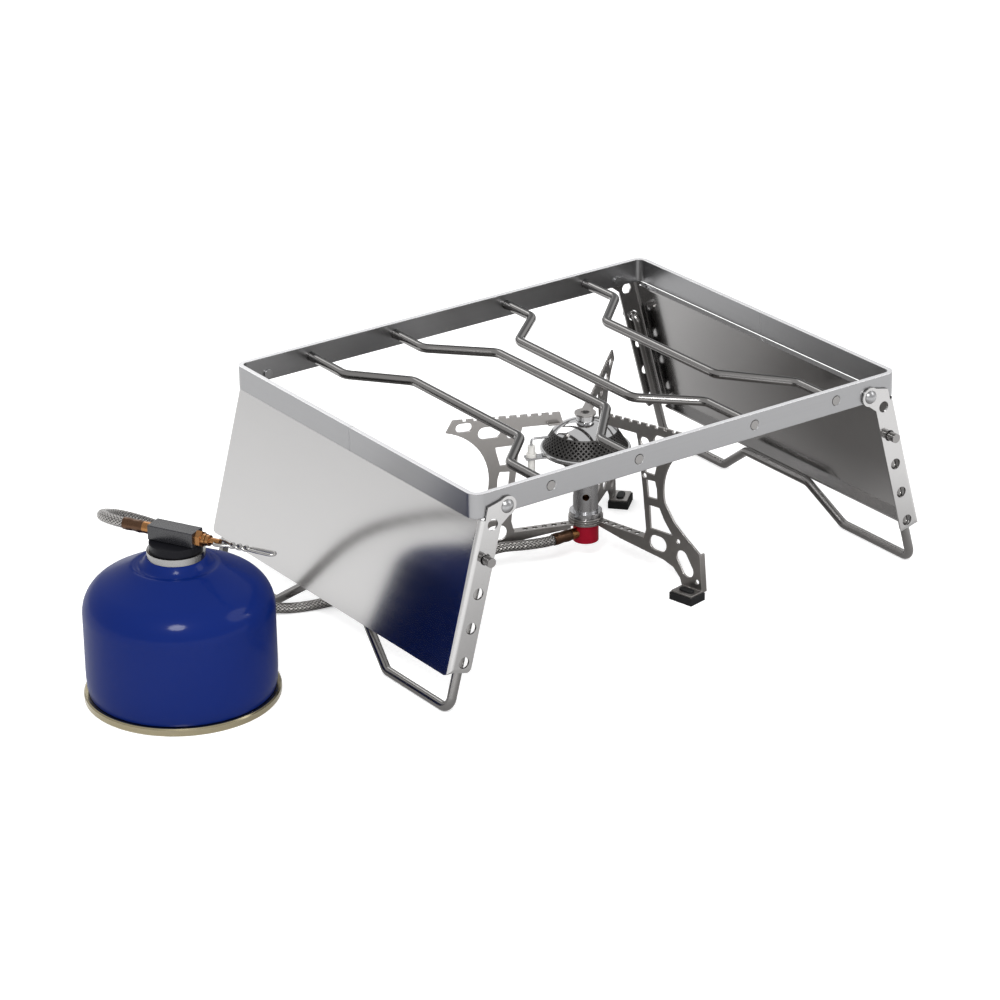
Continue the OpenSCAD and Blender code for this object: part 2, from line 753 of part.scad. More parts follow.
module igniter_bracket() {
    inner = head_radius - 4.6;
    outer = igniter_radius + ceramic_radius + 1.6;
    color("gray") at_burner(igniter_angle) translate([0, 0, head_height - head_wall - leg_plate])
        linear_extrude(leg_plate) difference() {
            translate([inner, -3]) square([outer - inner, 6]);
            translate([igniter_radius, 0]) circle(ceramic_radius + running_gap);
        }
}

module igniter_ceramic() {
    shoulder = 0.9;
    bracket_top = head_height - head_wall;
    color("ivory") at_burner(igniter_angle) translate([igniter_radius, 0, 0]) difference() {
        union() {
            translate([0, 0, ceramic_bottom]) cylinder(r = ceramic_radius, h = ceramic_top - ceramic_bottom);
            translate([0, 0, bracket_top]) cylinder(r = ceramic_radius + shoulder, h = 2);
        }
        cylinder(r = electrode_radius + running_gap, h = 2 * ceramic_top);
    }
}

module igniter_electrode() {
    tip = cap_radius + 3.4;
    color("gray") at_burner(igniter_angle) rotate([90, 0, 0])
        bent_wire([[igniter_radius, ceramic_bottom - 2], [igniter_radius, electrode_height], [tip, electrode_height]],
                  2 * electrode_radius, 2);
}

// Crimped sleeve, running out along +X from the end of its nipple
module sleeve(start) {
    waist = 0.3;
    color([0.3, 0.2, 0.14]) translate([start, 0, 0]) rotate([0, 90, 0]) rotate_extrude()
        polygon([[0, 0], [sleeve_diameter / 2 - waist, 0], [sleeve_diameter / 2, sleeve_length * 0.2],
                 [sleeve_diameter / 2 - waist, sleeve_length * 0.5], [sleeve_diameter / 2, sleeve_length * 0.8],
                 [sleeve_diameter / 2 - waist / 2, sleeve_length], [0, sleeve_length]]);
}

module at_burner_outlet() {
    translate([burner_side, burner_y, inlet_middle]) rotate([0, 0, 180]) children();
}

module burner_nipple() {
    color("peru") difference() {
        at_burner_outlet() translate([-1, 0, 0]) rotate([0, 90, 0]) cylinder(d = nipple_diameter, h = burner_nipple_length + 1);
        at_burner() translate([0, 0, inlet_bottom - 1]) cylinder(d = inlet_diameter, h = inlet_height + 2);
    }
}

module burner_sleeve() {
    at_burner_outlet() sleeve(burner_nipple_length);
}

// Gas hose: one tube swept along the route

function unit(v) = v / norm(v);
function tangent(points, i) = unit(points[min(i + 1, len(points) - 1)] - points[max(i - 1, 0)]);
function ring(centre, axis, radius, sides) = let (across = unit(cross(axis, [0, 0, 1])), up = cross(across, axis))
    [for (k = [0 : sides - 1]) centre + radius * (cos(360 * k / sides) * across + sin(360 * k / sides) * up)];

module gas_hose() {
    count = len(hose_points);
    rings = [for (i = [0 : count - 1]) each
        ring(hose_points[i], tangent(hose_points, i), hose_diameter / 2, hose_sides)];
    skin = [for (i = [0 : count - 2], k = [0 : hose_sides - 1]) let (a = i * hose_sides + k,
        b = i * hose_sides + (k + 1) % hose_sides) each [[a, a + hose_sides, b], [b, a + hose_sides, b + hose_sides]]];
    near_end = [for (k = [1 : hose_sides - 2]) [0, k, k + 1]];
    last = (count - 1) * hose_sides;
    far_end = [for (k = [1 : hose_sides - 2]) [last, last + k + 1, last + k]];
    color("darkgray") polyhedron(points = rings, faces = concat(skin, near_end, far_end));
}

// Canister

module at_canister() {
    translate([canister_x, canister_y, 0]) children();
}

// Half section of the canister filled to the axis, moved in by the wall for its inside
module canister_section(inset, foot) {
    crest = [shoulder_inner, crest_height] - inset * [sin(top_slope), cos(top_slope)];
    side = wall_radius - inset;
    polygon([[0, foot], [side - 1.2, foot], [side - 0.4, rim_height + 4], [side, rim_height + 14],
             [side, shoulder_height], [0, shoulder_height]]);
    translate(bend_centre) circle(shoulder_radius - inset, $fn = 96);
    polygon([[0, shoulder_height / 2], bend_centre, bend_end(inset), crest, crest - [1.5, 0.5 - inset / 2], crest - [3, 0.3 - inset / 2],
             crest + [-4.4, 0.9], crest + [-5.6, 2.5], [collar_radius + 0.8 - inset, seat_height - 0.5 - inset],
             [collar_radius + 0.4 - inset, seat_height - inset], [0, seat_height - inset]]);
}

// Painted shell, open below, with a groove and a short neck round the valve cup
module canister_body() {
    mouth = 13;
    foot = rim_height + 0.2;
    color([0.08, 0.12, 0.5]) at_canister() rotate_extrude($fn = 96) difference() {
        canister_section(0, foot);
        canister_section(canister_wall, foot - 1);
        translate([0, seat_height - 2]) square([mouth, 4]);
    }
}

// Rolled rim with the dished bottom inside it
module canister_base() {
    roll = 2.6;
    dish = 9;
    color("darkkhaki") at_canister() rotate_extrude($fn = 96) polygon([
        [0, dish], [rim_radius * 0.6, dish - 2], [rim_radius - roll - 1.2, 2.4], [rim_radius - roll, 0.4],
        [rim_radius - roll + 0.6, 0], [rim_radius - 0.7, 0], [rim_radius, 0.8], [rim_radius, rim_height - 0.8],
        [rim_radius - 0.8, rim_height], [rim_radius - roll, rim_height], [rim_radius - roll - 0.6, rim_height - 0.8],
        [rim_radius - roll - 1.6, 3.6], [rim_radius * 0.6, dish - 0.8], [0, dish + 1.2]]);
}

// Silver collar with the threaded stub in its middle
module canister_valve_cup() {
    wall = 2.6;
    pin_hole = 2.2;
    color("silver") at_canister() {
        tube(collar_radius, collar_radius - wall, seat_height, collar_top);
        tube(collar_radius - wall, stub_radius, seat_height, seat_height + cup_floor);
        tube(stub_radius, pin_hole, seat_height, collar_top + 2);
    }
}

module canister_inner_valve() {
    body_radius = 5;
    body_length = 14;
    color("gray") at_canister() translate([0, 0, seat_height - body_length])
        difference() {
            cylinder(r = body_radius, h = body_length);
            translate([0, 0, 2]) cylinder(r = 2.2, h = body_length);
        }
}

module valve_seal() {
    color([0.1, 0.1, 0.1]) at_canister()
        tube(stub_radius + 2.6, stub_radius + socket_gap, seat_height + cup_floor, boss_bottom);
}

// Valve

module at_valve() {
    translate([canister_x, canister_y, valve_axis]) rotate([0, 0, valve_angle]) children();
}

// Round black foot screwed over the canister's stub
module valve_base() {
    boss_radius = collar_radius - 3;
    color([0.12, 0.12, 0.13]) at_canister() difference() {
        union() {
            translate([0, 0, valve_base_bottom]) cylinder(r = valve_base_radius, h = valve_base_height);
            translate([0, 0, boss_bottom]) cylinder(r = boss_radius, h = valve_base_bottom - boss_bottom);
        }
        translate([0, 0, boss_bottom - 1]) cylinder(r = stub_radius + socket_gap, h = collar_top + 3 - boss_bottom);
    }
}

module valve_block() {
    seat = 6;
    edge = 0.5;
    color([0.17, 0.17, 0.19]) at_valve() difference() {
        translate([-block_end, 0, 0]) rotate([90, 0, 90]) linear_extrude(block_length)
            intersection() {
                square([block_width, block_height], center = true);
                rotate(45) square((block_width + block_height - 2 * edge) / sqrt(2), center = true);
            }
        translate([seat, 0, 0]) rotate([0, 90, 0]) cylinder(d = spindle_diameter + 2 * running_gap, h = block_length);
    }
}

module gland_nut() {
    hex = 4.7;
    neck = 3.4;
    color("peru") at_valve() translate([block_end, 0, 0]) rotate([0, 90, 0]) difference() {
        union() {
            cylinder(r = hex, h = gland_length * 0.6, $fn = 6);
            cylinder(r = neck, h = gland_length);
        }
        translate([0, 0, -1]) cylinder(d = spindle_diameter + 2 * running_gap, h = gland_length + 2);
    }
}

// Needle tip in the block, shaft through the gland, collar and cross-drilled head outside
module valve_spindle() {
    tip = 7;
    color("goldenrod") at_valve() difference() {
        rotate([0, 90, 0]) union() {
            translate([0, 0, tip]) cylinder(r1 = 0.8, r2 = spindle_diameter / 2, h = 3);
            translate([0, 0, tip + 3]) cylinder(d = spindle_diameter, h = spindle_end - tip - 3);
            translate([0, 0, block_end + gland_length + seat_gap]) cylinder(r = bead_radius, h = 2);
        }
        translate([handle_hinge, 0, 0]) rotate([90, 0, 0])
            cylinder(d = handle_wire + 2 * running_gap, h = 2 * spindle_diameter, center = true);
    }
}

// Wire loop hinged through the spindle's cross hole, its two strands drawn close together
module wire_handle() {
    throat = handle_hinge + 9;
    tip = handle_hinge + handle_length;
    pin_half = handle_spread / 3;
    color("silver") at_valve() {
        bent_wire([[handle_hinge, bend_lap], [handle_hinge, handle_spread], [throat, handle_close],
                   [tip, handle_close], [tip, -handle_close], [throat, -handle_close],
                   [handle_hinge, -handle_spread], [handle_hinge, -bend_lap]], handle_wire, 1.2);
        translate([handle_hinge, 0, 0]) rotate([90, 0, 0])
            cylinder(d = handle_wire + bend_swell, h = 2 * pin_half, center = true);
    }
}

module at_valve_outlet() {
    at_valve() rotate([0, 0, 180]) translate([block_end, 0, 0]) children();
}

module valve_nipple() {
    color("peru") at_valve_outlet() rotate([0, 90, 0]) cylinder(d = nipple_diameter, h = valve_nipple_length);
}

module valve_sleeve() {
    at_valve_outlet() sleeve(valve_nipple_length);
}

module placed() {
    translate([-centre_x, 0, 0]) children();
}

placed() frame_front_half();
placed() frame_back_half();
placed() grill_rod(0);  // grill_rod_1
placed() grill_rod(1);  // grill_rod_2
placed() grill_rod(2);  // grill_rod_3
placed() grill_rod(3);  // grill_rod_4
placed() left_panel();
placed() right_panel();
placed() left_pivot_rivets();
placed() right_pivot_rivets();
placed() left_wire_leg();
placed() right_wire_leg();
placed() inlet_body();
placed() gas_jet();
placed() burner_column();
placed() column_collar();
placed() spring_clip();
placed() mixing_cup();
placed() trim_ring();
placed() flame_skirt();
placed() dome_cap();
placed() back_burner_leg();
placed() left_burner_leg();
placed() right_burner_leg();
placed() back_foot_pad();
placed() left_foot_pad();
placed() right_foot_pad();
placed() igniter_bracket();
placed() igniter_ceramic();
placed() igniter_electrode();
placed() burner_nipple();
placed() burner_sleeve();
placed() gas_hose();
placed() canister_body();
placed() canister_base();
placed() canister_valve_cup();
placed() canister_inner_valve();
placed() valve_seal();
placed() valve_base();
placed() valve_block();
placed() gland_nut();
placed() valve_spindle();
placed() wire_handle();
placed() valve_nipple();
placed() valve_sleeve();
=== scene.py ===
import json
import math
import bmesh
import bpy
from mathutils import Matrix, Vector


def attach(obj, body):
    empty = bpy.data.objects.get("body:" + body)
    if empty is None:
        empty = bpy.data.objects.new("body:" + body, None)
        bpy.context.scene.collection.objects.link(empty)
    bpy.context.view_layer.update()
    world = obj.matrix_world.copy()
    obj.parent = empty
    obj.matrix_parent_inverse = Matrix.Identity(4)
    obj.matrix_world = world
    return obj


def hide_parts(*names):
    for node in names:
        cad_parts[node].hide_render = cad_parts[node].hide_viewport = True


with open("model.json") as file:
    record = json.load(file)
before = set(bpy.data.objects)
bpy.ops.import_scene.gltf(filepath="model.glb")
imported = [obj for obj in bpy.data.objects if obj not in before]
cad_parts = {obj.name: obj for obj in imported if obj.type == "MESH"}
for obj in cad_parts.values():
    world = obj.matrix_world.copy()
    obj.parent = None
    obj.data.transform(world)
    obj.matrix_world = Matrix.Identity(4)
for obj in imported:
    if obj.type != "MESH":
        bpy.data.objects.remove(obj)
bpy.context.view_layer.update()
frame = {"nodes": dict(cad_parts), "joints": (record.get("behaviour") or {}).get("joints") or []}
nodes = frame["nodes"]
joints = {joint["name"]: joint for joint in frame["joints"]}
scene = bpy.context.scene
print("frame loaded", len(nodes), "nodes")


def axesAt(place, xAxis, yAxis, zAxis):
    return Matrix.Translation(place) @ Matrix((xAxis, yAxis, zAxis)).transposed().to_4x4()


# camera, solved from the straight lines of the stand
cameraSet = {
    "place": (-1.14346, -1.6738, 0.9507), "lens": 137.6, "sensor": 36, "farthest": 50,
    "right": (0.8151, -0.5791, -0.0138), "forward": (0.526, 0.7499, -0.4013),
}
camData = bpy.data.cameras.new("camera")
camData.lens = cameraSet["lens"]
camData.sensor_width = cameraSet["sensor"]
camData.clip_end = cameraSet["farthest"]
cam = bpy.data.objects.new("camera", camData)
scene.collection.objects.link(cam)
right = Vector(cameraSet["right"]).normalized()
forward = Vector(cameraSet["forward"]).normalized()
cam.matrix_world = axesAt(cameraSet["place"], right, right.cross(forward), -forward)
scene.camera = cam
print("camera set")


def newObject(name, bm, smooth=True):
    mesh = bpy.data.meshes.new(name)
    for face in bm.faces:
        face.smooth = smooth
    bm.to_mesh(mesh)
    bm.free()
    obj = bpy.data.objects.new(name, mesh)
    scene.collection.objects.link(obj)
    return obj


def jointAxis(name):
    x, y, _ = joints[name]["pos_m"]
    return Vector((x, y, 0))  # where an upright through the joint meets the floor


def pathFrames(points):
    frames = []
    side = None
    for i, point in enumerate(points):
        ahead = (points[min(i + 1, len(points) - 1)] - points[max(i - 1, 0)]).normalized()
        if side is None:
            side = ahead.orthogonal().normalized()
        side = (side - ahead * side.dot(ahead)).normalized()
        frames.append(axesAt(point, side, ahead.cross(side), ahead))
    return frames


def smoothPath(points, step):
    dense = []  # a smooth curve through every point
    last = len(points) - 1
    for i in range(last):
        a, b, c, d = points[max(i - 1, 0)], points[i], points[i + 1], points[min(i + 2, last)]
        count = max(2, int((c - b).length / step))
        bend = 2 * a - 5 * b + 4 * c - d
        twist = 3 * b - a - 3 * c + d
        for k in range(count):
            t = k / count
            dense.append(0.5 * (2 * b + (c - a) * t + bend * t * t + twist * t ** 3))
    dense.append(points[-1])
    return dense


def sweepTube(bm, points, radius, sides):
    around = bm.verts.layers.float.new("around")
    along = bm.verts.layers.float.new("along")
    frames = pathFrames(points)
    start = bmesh.ops.create_circle(bm, cap_ends=True, segments=sides, radius=radius, matrix=frames[0])
    for k, vert in enumerate(start["verts"]):
        vert[around] = k / sides
    edges = bm.edges[:]
    length = 0.0
    for i in range(1, len(points)):
        grown = bmesh.ops.extrude_edge_only(bm, edges=edges)["geom"]
        ring = {part for part in grown if isinstance(part, bmesh.types.BMVert)}
        edges = [part for part in grown if isinstance(part, bmesh.types.BMEdge)]
        edges = [edge for edge in edges if ring.issuperset(edge.verts)]
        bmesh.ops.transform(bm, matrix=frames[i] @ frames[i - 1].inverted(), verts=list(ring))
        length += (points[i] - points[i - 1]).length
        for vert in ring:
            vert[along] = length
    bmesh.ops.edgeloop_fill(bm, edges=edges)
    bmesh.ops.recalc_face_normals(bm, faces=bm.faces)
    layer = bm.loops.layers.uv.verify()
    for face in bm.faces:
        seam = any(vert[around] > 0.75 for vert in face.verts)  # the last side ends at 1, not at 0
        for loop in face.loops:
            turn = loop.vert[around]
            loop[layer].uv = (1.0 if seam and turn == 0 else turn, loop.vert[along])
    return length


# gas hose, from the burner's sleeve to the valve's
hoseSet = {"diameter": 0.0062, "sides": 24, "step": 0.0015}
hoseRoute = [
    (0.06924, 0.001, 0.018516), (0.06424, 0.0012, 0.018516), (0.05244, 0.0036, 0.019),
    (0.03744, 0.0098, 0.019), (0.02444, 0.0124, 0.0168), (0.01144, 0.0152, 0.013),
    (-0.00156, 0.0188, 0.0088), (-0.01456, 0.023, 0.0054), (-0.02756, 0.0274, 0.0037),
    (-0.04056, 0.0312, 0.0032), (-0.05356, 0.0345, 0.0032), (-0.06656, 0.0366, 0.0032),
    (-0.07956, 0.0392, 0.0032), (-0.09156, 0.044, 0.0034), (-0.10256, 0.0505, 0.0054),
    (-0.11256, 0.0565, 0.0105), (-0.12156, 0.061, 0.0185), (-0.12956, 0.064, 0.0285),
    (-0.13706, 0.0655, 0.0395), (-0.14456, 0.066, 0.05), (-0.15356, 0.0655, 0.06),
    (-0.16456, 0.0635, 0.069), (-0.17756, 0.0605, 0.0772), (-0.19006, 0.058, 0.084),
    (-0.19956, 0.054, 0.0886), (-0.20616, 0.048, 0.0922), (-0.20996, 0.04, 0.095),
    (-0.21056, 0.031, 0.0966), (-0.20834, 0.02296, 0.096984), (-0.20743, 0.02118, 0.096984),
]
hosePath = smoothPath([Vector(p) for p in hoseRoute], hoseSet["step"])
bm = bmesh.new()
hoseLength = sweepTube(bm, hosePath, hoseSet["diameter"] / 2, hoseSet["sides"])
hose = newObject("braidedHose", bm)
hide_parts("gas_hose")
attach(hose, "stove")
print("hose made", round(hoseLength, 4), "m")

# twisted wire handle, drawn as one half from the hinge to the eye and then turned over
handleSet = {
    "wire": 0.0018, "sides": 12, "step": 0.0004,
    "hinge": ((0, 0, 0), (0, 0.0022, 0), (0.0012, 0.0036, 0), (0.0045, 0.003312, 0)),
    "throat": 0.009, "untwist": 0.022, "turns": 1.5, "close": 0.00128, "flatten": 0.8, "twistSteps": 30,
    "eyeStart": 0.027, "eyePinch": 0.95, "eye": 0.0019, "eyeSteps": 8, "length": 0.037,
}
valveAlong = Vector(joints["spindle_turn"]["axis"])
valveAcross = Vector((-valveAlong.y, valveAlong.x, 0))
hingePlace = Vector(joints["handle_flip"]["pos_m"])


def handlePoint(along, across, lift):
    return hingePlace + valveAlong * along + valveAcross * across + Vector((0, 0, lift))


strand = []
for i in range(handleSet["twistSteps"] + 1):
    t = i / handleSet["twistSteps"]
    along = handleSet["throat"] + (handleSet["untwist"] - handleSet["throat"]) * t
    angle = handleSet["turns"] * 2 * math.pi * t
    lift = handleSet["flatten"] * handleSet["close"] * math.sin(angle)
    strand.append((along, handleSet["close"] * math.cos(angle), lift))
eyeRadius = handleSet["eye"]
eyeMiddle = handleSet["length"] - eyeRadius
half = list(handleSet["hinge"]) + strand
half += [(handleSet["eyeStart"], -eyeRadius * handleSet["eyePinch"], 0), (eyeMiddle, -eyeRadius, 0)]
eye = []
for i in range(1, handleSet["eyeSteps"]):
    angle = math.pi * i / handleSet["eyeSteps"]
    eye.append((eyeMiddle + eyeRadius * math.sin(angle), -eyeRadius * math.cos(angle), 0))
handleRoute = half + eye + [(x, -y, -z) for x, y, z in reversed(half)]
handlePath = smoothPath([handlePoint(*p) for p in handleRoute], handleSet["step"])
bm = bmesh.new()
sweepTube(bm, handlePath, handleSet["wire"] / 2, handleSet["sides"])
handle = newObject("twistedHandle", bm)
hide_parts("wire_handle")
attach(handle, "handle")
print("handle made")

# perforated flame skirt: a cone cut into squares, turned into diamonds that are then opened
skirtSet = {
    "low": (0.02555, 0.0734), "high": (0.019, 0.0838),  # radius and height of each rim
    "columns": 46, "rows": 4, "bar": 0.00044, "thick": 0.0007,
}
lowRadius, lowHeight = skirtSet["low"]
highRadius, highHeight = skirtSet["high"]
skirtRise = highHeight - lowHeight
skirtPlace = jointAxis("left_burner_leg_swivel") + Vector((0, 0, lowHeight + skirtRise / 2))
bm = bmesh.new()
bmesh.ops.create_cone(bm, cap_ends=False, segments=skirtSet["columns"], radius1=lowRadius, radius2=highRadius,
                      depth=skirtRise, matrix=Matrix.Translation(skirtPlace))
upright = [edge for edge in bm.edges if abs(edge.verts[0].co.z - edge.verts[1].co.z) > skirtRise / 2]
bmesh.ops.subdivide_edges(bm, edges=upright, cuts=skirtSet["rows"] - 1, use_grid_fill=True)
squares = [edge for edge in bm.edges if len(edge.link_faces) == 2]
bmesh.ops.poke(bm, faces=bm.faces[:])
bmesh.ops.dissolve_edges(bm, edges=squares, use_verts=False)
diamonds = [face for face in bm.faces if len(face.verts) == 4]
bmesh.ops.inset_individual(bm, faces=diamonds, thickness=skirtSet["bar"], use_even_offset=True)
bmesh.ops.delete(bm, geom=diamonds, context="FACES_ONLY")
bmesh.ops.recalc_face_normals(bm, faces=bm.faces)
bmesh.ops.solidify(bm, geom=bm.faces[:], thickness=skirtSet["thick"])
skirt = newObject("perforatedSkirt", bm, smooth=False)
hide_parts("flame_skirt")
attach(skirt, "stove")
print("skirt made")

# painted canister shell, spun from its wall's outline: radius and height of each point,
# but at the foot how far the wall tucks in
shellSet = {
    "side": 0.0534, "bend": 0.0204, "bendStart": 0.0518, "slope": 27.5, "wall": 0.001,
    "arcSteps": 16, "neckStep": 0.0005, "spinSteps": 160, "weld": 0.000001,
    "footTuck": ((0.0012, 0.0048), (0.00118, 0.0051), (0.0004, 0.0086), (0.0001, 0.014), (0, 0.0186),
                 (0, 0.035)),
    "neck": ((0.036, 0.07324), (0.03, 0.07636), (0.0258, 0.07854), (0.024, 0.0792), (0.0225, 0.07912),
             (0.021, 0.07935), (0.0196, 0.08038), (0.0184, 0.08192), (0.0172, 0.0834), (0.0166, 0.08398)),
    "neckInside": ((0.013, 0.08398), (0.013, 0.08298), (0.0157, 0.08298), (0.0179, 0.0811), (0.0191, 0.0795),
                   (0.0205, 0.0788), (0.0235, 0.0786)),
    "footInside": ((0.0524, 0.0186), (0.0512, 0.0048)),
}
canisterMiddle = jointAxis("spindle_turn")


def shoulderArc(inset):
    arc = []
    reach = shellSet["bend"] - inset
    for i in range(shellSet["arcSteps"] + 1):
        angle = math.radians((90 - shellSet["slope"]) * i / shellSet["arcSteps"])
        radius = shellSet["side"] - shellSet["bend"] + reach * math.cos(angle)
        arc.append((radius, shellSet["bendStart"] + reach * math.sin(angle)))
    return arc


neckCurve = smoothPath([Vector((r, 0, z)) for r, z in shellSet["neck"]], shellSet["neckStep"])
outline = [(shellSet["side"] - tuck, z) for tuck, z in shellSet["footTuck"]]
outline += shoulderArc(0) + [(v.x, v.z) for v in neckCurve]
outline += list(shellSet["neckInside"]) + shoulderArc(shellSet["wall"])[::-1] + list(shellSet["footInside"])
bm = bmesh.new()
profile = [bm.verts.new(canisterMiddle + Vector((r, 0, z))) for r, z in outline]
rim = [bm.edges.new((profile[i - 1], profile[i])) for i in range(len(profile))]
bmesh.ops.spin(bm, geom=profile + rim, cent=canisterMiddle, axis=(0, 0, 1), angle=2 * math.pi,
               steps=shellSet["spinSteps"], use_merge=True)
bmesh.ops.remove_doubles(bm, verts=bm.verts, dist=shellSet["weld"])
bmesh.ops.recalc_face_normals(bm, faces=bm.faces)
shell = newObject("paintedShell", bm)
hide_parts("canister_body")
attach(shell, "stove")
print("canister shell made")


# shader helpers: a value that is another node's socket is linked, any other is set
def plug(tree, socket, value):
    if isinstance(value, bpy.types.NodeSocket):
        tree.links.new(value, socket)
    else:
        socket.default_value = value


def setSockets(tree, node, **sockets):
    for name, value in sockets.items():
        plug(tree, node.inputs[name.replace("_", " ")], value)
    return node


def addNode(tree, kind, **sockets):
    return setSockets(tree, tree.nodes.new(kind), **sockets)


def mathNode(tree, kind, *values):
    made = tree.nodes.new("ShaderNodeMath")
    made.operation = kind
    for socket, value in zip(made.inputs, values):
        plug(tree, socket, value)
    return made.outputs[0]


def vectorNode(tree, kind, vector, other):
    made = tree.nodes.new("ShaderNodeVectorMath")
    made.operation = kind
    plug(tree, made.inputs[0], vector)
    plug(tree, made.inputs["Scale"] if kind == "SCALE" else made.inputs[1], other)
    return made.outputs["Value"] if kind in ("DISTANCE", "DOT_PRODUCT") else made.outputs["Vector"]


def rangeNode(tree, value, low, high):
    return addNode(tree, "ShaderNodeMapRange", Value=value, From_Min=low, From_Max=high).outputs["Result"]


def mixNode(tree, factor, a, b, blend="MIX"):
    made = tree.nodes.new("ShaderNodeMix")
    made.data_type = "RGBA"
    made.blend_type = blend
    return setSockets(tree, made, Factor=factor, A=a, B=b).outputs["Result"]


def rampNode(tree, factor, *stops):
    made = addNode(tree, "ShaderNodeValToRGB", Fac=factor)
    for element, (position, colour) in zip(made.color_ramp.elements, stops):
        element.position = position
        element.color = (*colour, 1)
    return made.outputs["Color"]


def nodeMaterial(name):
    mat = bpy.data.materials.new(name)
    mat.use_nodes = True
    return mat, mat.node_tree, mat.node_tree.nodes["Principled BSDF"]


# brushing, clouding, edges made lighter (partly rubbed bare, partly a painted highlight), and a painted
# highlight or painted dark reflection on up-facing faces, shared by every finish but the braid
detailSet = {
    "fineDetail": 5.0, "fineRoughness": 0.62, "cloudScale": 38.0, "cloudDetail": 3.0, "cloudShare": 0.45,
    "average": 0.725, "bevelSamples": 4, "edgeWearAndHighlight": (0.985, 0.8), "paintedLightUpFacing": (0.87, 0.97), "bump": 0.0002,
}
detailInputs = (
    ("Tint", "NodeSocketColor"), ("Stretch", "NodeSocketVector"), ("Tone", "NodeSocketFloat"),
    ("Rough", "NodeSocketFloat"), ("Relief", "NodeSocketFloat"), ("Edge", "NodeSocketFloat"),
    ("Wear", "NodeSocketFloat"), ("Rim", "NodeSocketFloat"),
)
detailOutputs = (
    ("Colour", "NodeSocketColor"), ("Roughness", "NodeSocketFloat"), ("Normal", "NodeSocketVector"),
)


def detailGroup():
    group = bpy.data.node_groups.new("surfaceDetail", "ShaderNodeTree")
    for name, kind in detailInputs:
        group.interface.new_socket(name, in_out="INPUT", socket_type=kind)
    for name, kind in detailOutputs:
        group.interface.new_socket(name, in_out="OUTPUT", socket_type=kind)
    given = group.nodes.new("NodeGroupInput").outputs
    coords = group.nodes.new("ShaderNodeTexCoord").outputs
    brushed = vectorNode(group, "MULTIPLY", coords["Object"], given["Stretch"])
    fine = addNode(group, "ShaderNodeTexNoise", Vector=brushed, Scale=1.0, Detail=detailSet["fineDetail"],
                   Roughness=detailSet["fineRoughness"]).outputs["Fac"]
    cloud = addNode(group, "ShaderNodeTexNoise", Vector=coords["Object"], Scale=detailSet["cloudScale"],
                    Detail=detailSet["cloudDetail"]).outputs["Fac"]
    blend = mathNode(group, "MULTIPLY_ADD", cloud, detailSet["cloudShare"], fine)
    centred = mathNode(group, "SUBTRACT", blend, detailSet["average"])
    edge = addNode(group, "ShaderNodeBevel", Radius=given["Edge"])
    edge.samples = detailSet["bevelSamples"]
    surface = group.nodes.new("ShaderNodeNewGeometry").outputs
    # how far the rounded edge turns from the flat face
    turned = vectorNode(group, "DOT_PRODUCT", edge.outputs["Normal"], surface["Normal"])
    # edges made lighter in colour: partly rubbed bare, partly a painted highlight where rounded edges catch
    # light
    edgeWearAndHighlightMask = rangeNode(group, turned, *detailSet["edgeWearAndHighlight"])
    facing = addNode(group, "ShaderNodeSeparateXYZ", Vector=coords["Normal"]).outputs["Z"]
    paintedLightUpFacing = rangeNode(group, facing, *detailSet["paintedLightUpFacing"])
    tone = mathNode(group, "MULTIPLY_ADD", centred, given["Tone"], 1.0)
    tone = mathNode(group, "MULTIPLY_ADD", edgeWearAndHighlightMask, given["Wear"], tone)
    tone = mathNode(group, "MULTIPLY_ADD", paintedLightUpFacing, given["Rim"], tone)  # up-facing faces painted lighter as a highlight, or darker as a painted dark reflection where the amount is negative
    rough = mathNode(group, "MULTIPLY_ADD", centred, given["Tone"], given["Rough"])
    rough.node.use_clamp = True
    bump = addNode(group, "ShaderNodeBump", Strength=given["Relief"], Distance=detailSet["bump"], Height=fine,
                   Normal=edge.outputs["Normal"])
    addNode(group, "NodeGroupOutput", Colour=vectorNode(group, "SCALE", given["Tint"], tone), Roughness=rough,
            Normal=bump.outputs["Normal"])
    return group


surfaceDetail = detailGroup()
print("shader groups made")
